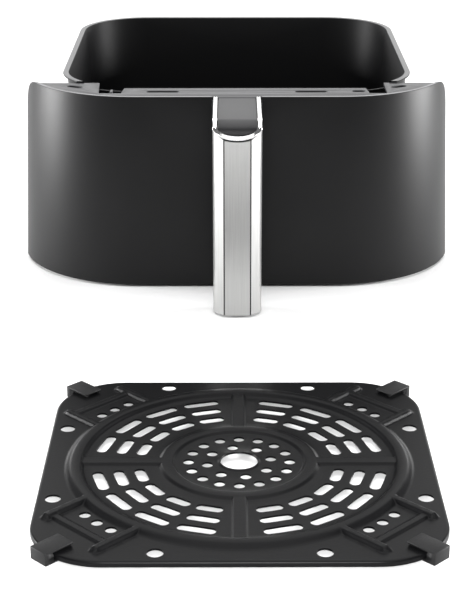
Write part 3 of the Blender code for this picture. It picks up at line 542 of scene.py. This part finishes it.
# ---------------------------------------------------------------- the handle
def on_bend(flat, top, front):
    """Wraps a flat strip over the neck, round the bend and down the bar.

    Its x stays, its y is the distance from the drawer's face along the surface and its z is how deep
    below the surface it lies, as a negative height."""
    depth = -flat.z
    neck = front - BEND_R
    if flat.y <= neck:
        return Vector((flat.x, -flat.y, top - depth))
    turn = (flat.y - neck) / BEND_R
    if turn <= math.pi / 2:
        radius = BEND_R - depth
        return Vector((flat.x, -neck - radius * math.sin(turn), top - BEND_R + radius * math.cos(turn)))
    down = flat.y - neck - BEND_R * math.pi / 2
    return Vector((flat.x, -front + depth, top - BEND_R - down))


def strip_end():
    """Where the strip's round end starts along the surface, and how far it reaches."""
    low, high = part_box("handle_bezel")
    front = high.y - low.y
    hip_turn = math.acos(1 - BEZEL_STRAIGHT / BEND_R)
    start_s = front - BEND_R + BEND_R * hip_turn
    end_s = front - BEND_R + BEND_R * math.pi / 2 + (BEZEL_STRAIGHT + BEZEL_DROP - BEND_R)
    return start_s, end_s - start_s


def lay_on_handle(bm, half):
    """Squashes the round end of a flat strip, cuts it fine enough to bend, and wraps it."""
    low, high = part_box("handle_bezel")
    start_s, reach = strip_end()
    for vert in bm.verts:
        if vert.co.y > start_s + MERGE:
            offset = Vector((vert.co.x, vert.co.y - start_s))
            radius = offset.length
            vert.co.y = start_s + offset.y / radius * (radius - (half - reach))
    front = high.y - low.y
    for number in range(-1, BEND_STEPS + 2):
        s = front - BEND_R + BEND_R * math.pi / 2 * number / BEND_STEPS
        bmesh.ops.bisect_plane(bm, geom=bm.verts[:] + bm.edges[:] + bm.faces[:], dist=MERGE,
                               plane_co=(0, s, 0), plane_no=(0, 1, 0))
    for vert in bm.verts:
        vert.co = on_bend(vert.co, high.z, front) + Vector((0, high.y, 0))


def chrome_bezel():
    """The polished U round the thumb insert: one rounded section run down, round and back."""
    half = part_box("handle_bezel")[1].x
    start_s = strip_end()[0]
    middle = half - BEZEL_WIDTH / 2
    bm = start((half - BEZEL_WIDTH, 0, -COVER_SHEET), (half, 0, -COVER_SHEET), (half, 0, 0),
               (middle + BEZEL_LINE, 0, 0), (middle, 0, -BEZEL_LINE), (middle - BEZEL_LINE, 0, 0),
               (half - BEZEL_WIDTH, 0, 0))
    shoulders = [v for v in bm.verts if v.co.z > -MERGE and abs(v.co.x - middle) > 2 * BEZEL_LINE]
    bmesh.ops.bevel(bm, geom=shoulders, offset=BEZEL_ROUND, segments=BEZEL_STEPS, profile=0.5,
                    affect="VERTICES", material=-1)
    verts = extrude_by(bm, bm.faces[:], (0, start_s, 0))
    end = [f for f in bm.faces if all(v in verts for v in f.verts)]
    turned = bmesh.ops.spin(bm, geom=end, cent=(0, start_s, 0), axis=STRAIGHT_UP, angle=math.pi,
                            steps=2 * CORNER_STEPS, use_merge=False)["geom_last"]
    last = [item for item in turned if isinstance(item, bmesh.types.BMFace)]
    extrude_by(bm, last, (0, -start_s, 0))
    for inner in [f for f in bm.faces if all(abs(v.co.y - start_s) < MERGE for v in f.verts)]:
        bm.faces.remove(inner)
    lay_on_handle(bm, half)
    return finish_piece(bm, "chrome_bezel", "drawer", ["handle_bezel"])


def thumb_rest():
    """The grey insert inside the bezel, a little below its surface."""
    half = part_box("handle_bezel")[1].x
    inner = half - BEZEL_WIDTH - INSERT_GAP
    start_s = strip_end()[0]
    bm = bmesh.new()
    bmesh.ops.create_circle(bm, segments=4 * CORNER_STEPS, radius=inner, cap_ends=True)
    bmesh.ops.translate(bm, verts=bm.verts, vec=(0, start_s, -COVER_SHEET))
    bmesh.ops.bisect_plane(bm, geom=bm.verts[:] + bm.edges[:] + bm.faces[:], dist=MERGE,
                           plane_co=(0, start_s, 0), plane_no=(0, -1, 0), clear_outer=True)
    straight = [e for e in bm.edges if all(abs(v.co.y - start_s) < MERGE for v in e.verts)]
    out = bmesh.ops.extrude_edge_only(bm, edges=straight)["geom"]
    verts = [item for item in out if isinstance(item, bmesh.types.BMVert)]
    bmesh.ops.translate(bm, verts=verts, vec=(0, -start_s, 0))
    bmesh.ops.dissolve_edges(bm, edges=straight)
    extrude_by(bm, bm.faces[:], (0, 0, COVER_SHEET - INSERT_DROP))
    top = [e for e in sharp_edges(bm, SQUARE_EDGE) if all(v.co.z > -INSERT_DROP - MERGE for v in e.verts)]
    round_edges(bm, top, INSERT_ROUND)
    lay_on_handle(bm, half)
    return finish_piece(bm, "thumb_rest", "drawer", ["thumb_insert"])


def steel_sleeve():
    """Folded stainless channel round the bar: two chamfers, soft arrises, top cut to the bezel."""
    low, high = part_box("handle_sleeve")
    half = high.x
    chamfered = half - BAR_CHAMFER
    plan = [(-half, high.y), (-half, low.y + BAR_CHAMFER), (-chamfered, low.y),
            (chamfered, low.y), (half, low.y + BAR_CHAMFER), (half, high.y)]
    bm = start(*[(x, y, low.z) for x, y in plan])
    for width, inside in ((ARRIS_ROUND, True), (SIDE_ROUND, False)):
        arrises = [v for v in bm.verts if v.co.y < high.y - MERGE and (abs(v.co.x) < half - MERGE) == inside]
        bmesh.ops.bevel(bm, geom=arrises, offset=width, segments=ARRIS_STEPS, profile=0.5,
                        affect="VERTICES", material=-1)
    extrude_by(bm, bm.faces[:], (0, 0, high.z - low.z))
    bmesh.ops.recalc_face_normals(bm, faces=bm.faces)
    open_faces = [f for f in bm.faces if abs(f.normal.z) > 0.5 or f.calc_center_median().y > high.y - MERGE]
    for gone in open_faces:
        bm.faces.remove(gone)
    bmesh.ops.solidify(bm, geom=bm.faces[:], thickness=SLEEVE_SHEET)
    for x in (-chamfered, chamfered):
        groove = block((-FOLD_LINE / 2, -FOLD_LINE / 2, low.z - PAST),
                       (FOLD_LINE / 2, FOLD_LINE / 2, high.z + PAST))
        bmesh.ops.rotate(groove, verts=groove.verts, matrix=Matrix.Rotation(math.radians(FOLD_TURN), 3, "Z"))
        bmesh.ops.translate(groove, verts=groove.verts, vec=(x, low.y, 0))
        bm = carve(bm, groove)
    # Faces in and beside the scored lines take the black nylon finish: painted shade for the dark line along
    # each front bend.
    for face in bm.faces:
        centre = face.calc_center_median()
        if abs(abs(centre.x) - chamfered) < FOLD_LINE and centre.y - low.y < FOLD_LINE:
            face.material_index = 1
    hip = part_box("handle_bezel")[1].z - BEZEL_STRAIGHT
    cutter = bmesh.new()
    bmesh.ops.create_circle(cutter, segments=4 * CORNER_STEPS, radius=1, cap_ends=True)
    bmesh.ops.scale(cutter, verts=cutter.verts, vec=(half + SHADOW_GAP, BEZEL_DROP + SHADOW_GAP, 1))
    bmesh.ops.rotate(cutter, verts=cutter.verts, matrix=Matrix.Rotation(math.radians(90), 3, "X"))
    bmesh.ops.translate(cutter, verts=cutter.verts, vec=(0, low.y - PAST, hip))
    extrude_by(cutter, cutter.faces[:], (0, high.y - low.y + 2 * PAST, 0))
    bm = carve(bm, cutter)
    return finish_piece(bm, "steel_sleeve", "drawer", ["handle_sleeve"])


# ---------------------------------------------------------------- the crisper plate
def smooth_step(value, low, high):
    share = min(max((value - low) / (high - low), 0), 1)
    return share * share * (3 - 2 * share)


def ridge(distance, land, foot):
    """1 on a ridge's land, 0 past its foot, with soft rounds at both."""
    return 1 - smooth_step(abs(distance), land, foot)


def ring_relief(radius, ring):
    inner_foot, inner_top, outer_top, outer_foot = ring
    return smooth_step(radius, inner_foot, inner_top) * (1 - smooth_step(radius, outer_top, outer_foot))


def corner_axes(x, y):
    """Distance out along the nearest diagonal, and across it (minus is towards the side edge)."""
    return (abs(x) + abs(y)) / math.sqrt(2), (abs(y) - abs(x)) / math.sqrt(2)


def relief(x, y):
    """Height of the pressed sheet above its flat, at a point from its centre."""
    radius = math.hypot(x, y)
    heights = [STEP_HEIGHT * ring_relief(radius, STEP), HUB_HEIGHT * ring_relief(radius, HUB)]
    lip_outer = CENTRE_HOLE_R + CENTRE_LIP
    heights.append(CENTRE_LIP_HEIGHT * (1 - smooth_step(radius, CENTRE_HOLE_R, lip_outer)))
    if HUB[1] < radius < STEP[2]:
        for aside in (x, y):
            heights.append(RIB_HEIGHT * ridge(aside, RIB_LAND, RIB_FOOT))
    out, aside = corner_axes(x, y)
    if radius > STEP[1]:
        for middle, past in ARMS:
            end = CROSSBAR_U + past - ARM_FOOT
            beyond = math.hypot(aside - middle, max(out - end, 0))
            heights.append(ARM_HEIGHT * ridge(beyond, ARM_LAND, ARM_FOOT))
        if ARMS[0][0] < aside < ARMS[1][0]:
            heights.append(RIB_HEIGHT * ridge(out - CROSSBAR_U, ARM_LAND, ARM_FOOT))
    return max(heights)


def edge_reach(direction, half):
    """Distance from the centre to the rounded square's edge in a direction."""
    corner = half - PLATE_CORNER_R
    reach = half / max(abs(direction.x), abs(direction.y))
    if min(abs(direction.x), abs(direction.y)) * reach > corner:
        towards = (abs(direction.x) + abs(direction.y)) * corner
        reach = towards + math.sqrt(towards**2 - 2 * corner**2 + PLATE_CORNER_R**2)
    return reach


def slot_cutter(bm, centre, width, length=None, turn=0):
    """Adds a closed prism with round ends, or a round one where it is as long as it is wide."""
    longer = (length - width) / 2 if length else 0
    made = bmesh.ops.create_circle(bm, segments=HOLE_STEPS, radius=width / 2, cap_ends=True)["verts"]
    for vert in made:
        vert.co.x += math.copysign(longer, vert.co.x) if abs(vert.co.x) > MERGE else 0
    bmesh.ops.rotate(bm, verts=made, matrix=Matrix.Rotation(turn, 3, "Z"))
    bmesh.ops.translate(bm, verts=made, vec=(*centre, -PAST))
    face = [f for f in bm.faces if all(v in made for v in f.verts)]
    extrude_by(bm, face, (0, 0, 3 * PAST))


def around(radius, degrees):
    return radius * math.cos(math.radians(degrees)), radius * math.sin(math.radians(degrees))


def plate_cutters(half):
    """Every slot and hole of the plate but its centre hole, as closed prisms."""
    bm = bmesh.new()
    for quarter in range(4):
        for radius in SLOT_RINGS:
            for angle in SLOT_ANGLES:
                turn = angle + 90 * quarter
                slot_cutter(bm, around(radius, turn), SLOT_WIDTH,
                            radius * math.radians(SLOT_SWEEP), math.radians(turn + 90))
    for side_x in (-1, 1):
        for side_y in (-1, 1):
            for step in (-1, 0, 1):
                x, y = around(CORNER_HOLES[0], CORNER_HOLES[1] + step * CORNER_HOLES[2])
                slot_cutter(bm, (side_x * x, side_y * y), 2 * SMALL_HOLE_R)
            for x, y in ((half - EDGE_HOLE[0], EDGE_HOLE[1]), (EDGE_HOLE[1], half - EDGE_HOLE[0])):
                slot_cutter(bm, (side_x * x, side_y * y), 2 * EDGE_HOLE_R)
    for radius, count, first in HUB_RINGS:
        for number in range(count):
            slot_cutter(bm, around(radius, first + 360 * number / count), 2 * SMALL_HOLE_R)
    return bm


def scribe(bm, point, normal, near):
    """Cuts an edge line into the sheet where a pressed rib begins or ends, only among the near faces."""
    faces = [f for f in bm.faces if near(f.calc_center_median())]
    parts = set(faces)
    for f in faces:
        parts.update(f.edges)
        parts.update(f.verts)
    bmesh.ops.bisect_plane(bm, geom=list(parts), dist=MERGE, plane_co=point, plane_no=normal)


def slope_lines(land, foot):
    """Distances across a slope, from its land to its foot."""
    return [land + (foot - land) * part / SLOPE_STEPS for part in range(SLOPE_STEPS + 1)]


def scribe_ribs(bm):
    """Edge lines along every straight rib, across both its slopes."""
    for axis in (0, 1):
        normal = Vector((1, 0, 0)) if axis == 0 else Vector((0, 1, 0))
        for line in slope_lines(RIB_LAND, RIB_FOOT):
            for side in (-1, 1):
                def near_rib(c, axis=axis):
                    return abs(c[axis]) < 2 * RIB_FOOT and HUB[1] < abs(c[1 - axis]) < STEP[2]
                scribe(bm, normal * side * line, normal, near_rib)
    for side_x in (-1, 1):
        for side_y in (-1, 1):
            out = Vector((side_x, side_y, 0)).normalized()
            across = Vector((-side_x, side_y, 0)).normalized()

            def here(c):
                return c.x * side_x > 0 and c.y * side_y > 0

            for line in slope_lines(ARM_LAND, ARM_FOOT):
                for side in (-1, 1):
                    for middle, past in ARMS:
                        def near_arm(c, middle=middle, past=past):
                            u, w = corner_axes(c.x, c.y)
                            along = STEP[1] < u < CROSSBAR_U + past + ARM_FOOT
                            return here(c) and along and abs(w - middle) < 2 * ARM_FOOT
                        scribe(bm, across * (middle + side * line), across, near_arm)

                    def near_bar(c):
                        u, w = corner_axes(c.x, c.y)
                        along = ARMS[0][0] < w < ARMS[1][0]
                        return here(c) and along and abs(u - CROSSBAR_U) < 2 * ARM_FOOT
                    scribe(bm, out * (CROSSBAR_U + side * line), out, near_bar)


def plate_rings():
    """Every ring of the sheet from the centre hole outwards: (radius, share of the way to the edge)."""
    fine = [CENTRE_HOLE_R, CENTRE_HOLE_R + CENTRE_LIP / 3, CENTRE_HOLE_R + 2 * CENTRE_LIP / 3,
            CENTRE_HOLE_R + CENTRE_LIP, *HUB_LINES, *FIELD_LINES]
    for ring in (HUB, STEP):
        for foot, land in ((ring[0], ring[1]), (ring[2], ring[3])):
            fine += slope_lines(land, foot)
        fine += [(ring[1] + ring[2]) / 2]
    rings = [(radius, 0) for radius in sorted(fine)]
    return rings + [(STEP[3], step / OUTER_LINES) for step in range(1, OUTER_LINES + 1)]


def next_ring(bm, edges, place):
    """Draws the sheet's open edge out by one ring; place gives each vertex from its plan direction."""
    made = bmesh.ops.extrude_edge_only(bm, edges=edges)["geom"]
    ring = {item for item in made if isinstance(item, bmesh.types.BMVert)}
    for vert in ring:
        vert.co = place(vert.co.xy.normalized())
    return [item for item in made if isinstance(item, bmesh.types.BMEdge) and ring.issuperset(item.verts)]


def pressed_plate():
    """The crisper plate: a sheet drawn out ring by ring, pressed into relief, thickened and pierced."""
    low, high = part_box("crisper_plate")
    middle = (low + high) / 2
    half = (high.x - low.x) / 2
    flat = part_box("bumper_rear_left")[1].z - BUMPER_OVER_PLATE
    bm = bmesh.new()
    rings = plate_rings()
    bmesh.ops.create_circle(bm, segments=PLATE_STEPS, radius=rings[0][0], cap_ends=False)
    edges = bm.edges[:]
    for radius, share in rings[1:]:
        def on_sheet(direction, radius=radius, share=share):
            reach = radius + share * (edge_reach(direction, half) - PLATE_EDGE_R - radius)
            return Vector((direction.x * reach, direction.y * reach, 0))
        edges = next_ring(bm, edges, on_sheet)
    scribe_ribs(bm)
    for vert in bm.verts:
        vert.co.z = relief(vert.co.x, vert.co.y)
    edges = [e for e in bm.edges if e.is_boundary and e.verts[0].co.length > STEP[3]]
    bend = [(1 - math.cos(math.radians(90 * i / LIP_STEPS)), math.sin(math.radians(90 * i / LIP_STEPS)))
            for i in range(1, LIP_STEPS + 1)]
    turned = [(PLATE_EDGE_R * s, PLATE_EDGE_R * c) for c, s in bend] + [(PLATE_EDGE_R, PLATE_SKIRT)]
    for out, down in turned:
        def on_skirt(direction, out=out, down=down):
            reach = edge_reach(direction, half) - PLATE_EDGE_R + out
            return Vector((direction.x * reach, direction.y * reach, -down))
        edges = next_ring(bm, edges, on_skirt)
    bmesh.ops.recalc_face_normals(bm, faces=bm.faces)
    if sum(f.normal.z for f in bm.faces) < 0:
        bmesh.ops.reverse_faces(bm, faces=bm.faces)
    bmesh.ops.solidify(bm, geom=bm.faces[:], thickness=PLATE_SHEET)
    bm = carve(bm, plate_cutters(half))
    bmesh.ops.translate(bm, verts=bm.verts, vec=(middle.x, middle.y, flat))
    return finish_piece(bm, "pressed_plate", "plate", ["crisper_plate"],
                        PLATE_SHARP)


def silicone_bumper(end, side):
    """A clip over the plate's corner: a pad whose sides and inner end are undercut above the sheet."""
    node_name = f"bumper_{end}_{side}"
    low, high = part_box(node_name)
    plate_low, plate_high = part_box("crisper_plate")
    centre = (plate_low + plate_high) / 2
    away = (low + high) / 2 - centre
    turn = Matrix.Rotation(math.atan2(away.y, away.x), 3, "Z")
    half = BUMPER_WIDTH / 2
    tip = math.sqrt(2) * max(abs(low.x - centre.x), abs(high.x - centre.x)) - half
    inner = tip - BUMPER_LENGTH
    floor = high.z - BUMPER_OVER_PLATE + UNDERCUT[0]
    roof = floor + UNDERCUT[1]
    bm = rounded_copy(node_name, BUMPER_ROUND)
    cuts = [((inner - PAST, half - UNDERCUT[2]), (tip - BUMPER_HEEL, half + PAST)),
            ((inner - PAST, -half - PAST), (tip - BUMPER_HEEL, UNDERCUT[2] - half)),
            ((inner - PAST, -half + BUMPER_CHEEK), (inner + UNDERCUT[2], half - BUMPER_CHEEK))]
    for (u_low, v_low), (u_high, v_high) in cuts:
        cutter = block((u_low, v_low, floor), (u_high, v_high, roof))
        bmesh.ops.rotate(cutter, verts=cutter.verts, matrix=turn)
        bmesh.ops.translate(cutter, verts=cutter.verts, vec=(centre.x, centre.y, 0))
        bm = carve(bm, cutter)
    return finish_piece(bm, node_name + "_finished", "plate", [node_name])


# ---------------------------------------------------------------- studio
def area_light(name, place, target, width, height, power):
    """A soft box, in metres and watts, turned to face a point."""
    data = bpy.data.lights.new(name, "AREA")
    data.shape = "RECTANGLE"
    data.size = width
    data.size_y = height
    data.energy = power
    lamp = bpy.data.objects.new(name, data)
    lamp.location = place
    lamp.rotation_euler = (Vector(target) - Vector(place)).to_track_quat("-Z", "Y").to_euler()
    bpy.context.scene.collection.objects.link(lamp)


def build_studio():
    """Pale floor, white surroundings and soft boxes."""
    bm = bmesh.new()
    bmesh.ops.create_grid(bm, x_segments=1, y_segments=1, size=12)
    mesh = bpy.data.meshes.new("floor")
    bm.to_mesh(mesh)
    bm.free()
    floor = bpy.data.objects.new("floor", mesh)
    bpy.context.scene.collection.objects.link(floor)
    floor.location = (0, 0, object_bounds()[0].z - 0.05 * MM)
    mesh.materials.append(studio_floor())

    world = bpy.data.worlds.new("studio")
    bpy.context.scene.world = world
    world.use_nodes = True
    world.node_tree.nodes["Background"].inputs["Color"].default_value = colour("#ffffff")
    world.node_tree.nodes["Background"].inputs["Strength"].default_value = 0.18

    drawer = (0, 0.1, 0.05)
    for side, x in (("left", -1), ("right", 1)):
        area_light(f"{side}_box", (1.3 * x, 0.14, 0.2), drawer, 0.5, 0.36, 30)
    for side, x in (("left", -1), ("right", 1)):
        area_light(f"back_{side}_box", (0.85 * x, 1.6, 0.4), drawer, 0.45, 0.5, 4)
    area_light("back_box", (0, 1.9, 1.4), drawer, 2.0, 2.6, 23)
    area_light("top_box", (0, -0.1, 2.5), drawer, 3.0, 3.4, 76)

    # A soft spot beside the lens lights the floor that is seen through the plate's holes
    spot = bpy.data.lights.new("plate_spot", "SPOT")
    spot.energy = 45
    spot.shadow_soft_size = 0.03
    spot.spot_size = 2 * math.radians(25)
    spot.spot_blend = 0.05
    lamp = bpy.data.objects.new("plate_spot", spot)
    lamp.location = (0, -0.97, 0.41)
    lamp.rotation_euler = (math.radians(90 - 48.5), 0, 0)
    bpy.context.scene.collection.objects.link(lamp)
    bpy.context.scene.view_settings.view_transform = "Standard"


def build_camera():
    """Looks down at 21 degrees from in front of the handle, with a long lens."""
    target = Vector((-0.0009, -0.007, 0.0132))
    distance = 1.023
    elevation = math.radians(21.3)
    azimuth = math.radians(-0.2)
    back = Vector((math.sin(azimuth) * math.cos(elevation), -math.cos(azimuth) * math.cos(elevation),
                   math.sin(elevation)))
    data = bpy.data.cameras.new("camera")
    data.lens = 96
    data.sensor_width = 36
    camera = bpy.data.objects.new("camera", data)
    camera.location = target + back * distance
    camera.rotation_euler = (-back).to_track_quat("-Z", "Y").to_euler()
    bpy.context.scene.collection.objects.link(camera)
    bpy.context.scene.camera = camera


# ---------------------------------------------------------------- put together
def main():
    """Every finish, then every piece in its finish. The screws keep their CAD shape."""
    shell = spark_textured_abs()
    ledge = ledge_plastic_painted_sheen()
    nylon_and_groove_shade = glass_filled_nylon()
    insert = soft_touch_insert()
    rubber = moulded_silicone()
    pan_coat = baked_nonstick("baked_nonstick_pan", "#0f0f10", "#19191b", (0.42, 0.52), 0.16)
    # The rim's coat is the pan's coating with a lighter base colour: a painted sheen.
    rim_painted_sheen_coat = baked_nonstick("baked_nonstick_rim_painted_sheen", "#343436", "#3c3c3e", (0.26, 0.34), 1.0)
    plate_coat = baked_nonstick("baked_nonstick_plate", "#0a0a0b", "#161618", (0.3, 0.4), 0.09)
    steel = brushed_stainless()
    chrome = polished_chrome()
    zinc = zinc_plated_steel()

    # The shell's second finish, on its lip, is a painted highlight.
    paint(front_cover(), shell, lip_painted_highlight())
    paint(deep_pan(), pan_coat, rim_painted_sheen_coat)
    paint(chrome_bezel(), chrome)
    paint(thumb_rest(), insert)
    # The sleeve's second finish, in its scored lines, is painted shade.
    paint(steel_sleeve(), steel, nylon_and_groove_shade)
    paint(pressed_plate(), plate_coat)
    # The ledge and the inner frame take the lighter grey plastic: a painted sheen on the ledge and a painted
    # highlight on the frame's lock rib.
    paint(softened("top_trim", 0.35 * MM), ledge)
    paint(softened("inner_frame", 0.4 * MM), ledge)
    paint(softened("handle_core", 0.3 * MM), nylon_and_groove_shade)
    paint(softened("handle_end_cap", 0.4 * MM), nylon_and_groove_shade)
    paint(softened("pan_bracket", 0.2 * MM), zinc)
    paint(softened("handle_mount_plate", 0.25 * MM), zinc)
    for end in ("rear", "front"):
        for side in ("left", "right"):
            paint(silicone_bumper(end, side), rubber)
    for name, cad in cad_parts.items():
        if "_screw_" in name:
            paint(cad, zinc)


build_studio()
build_camera()
main()
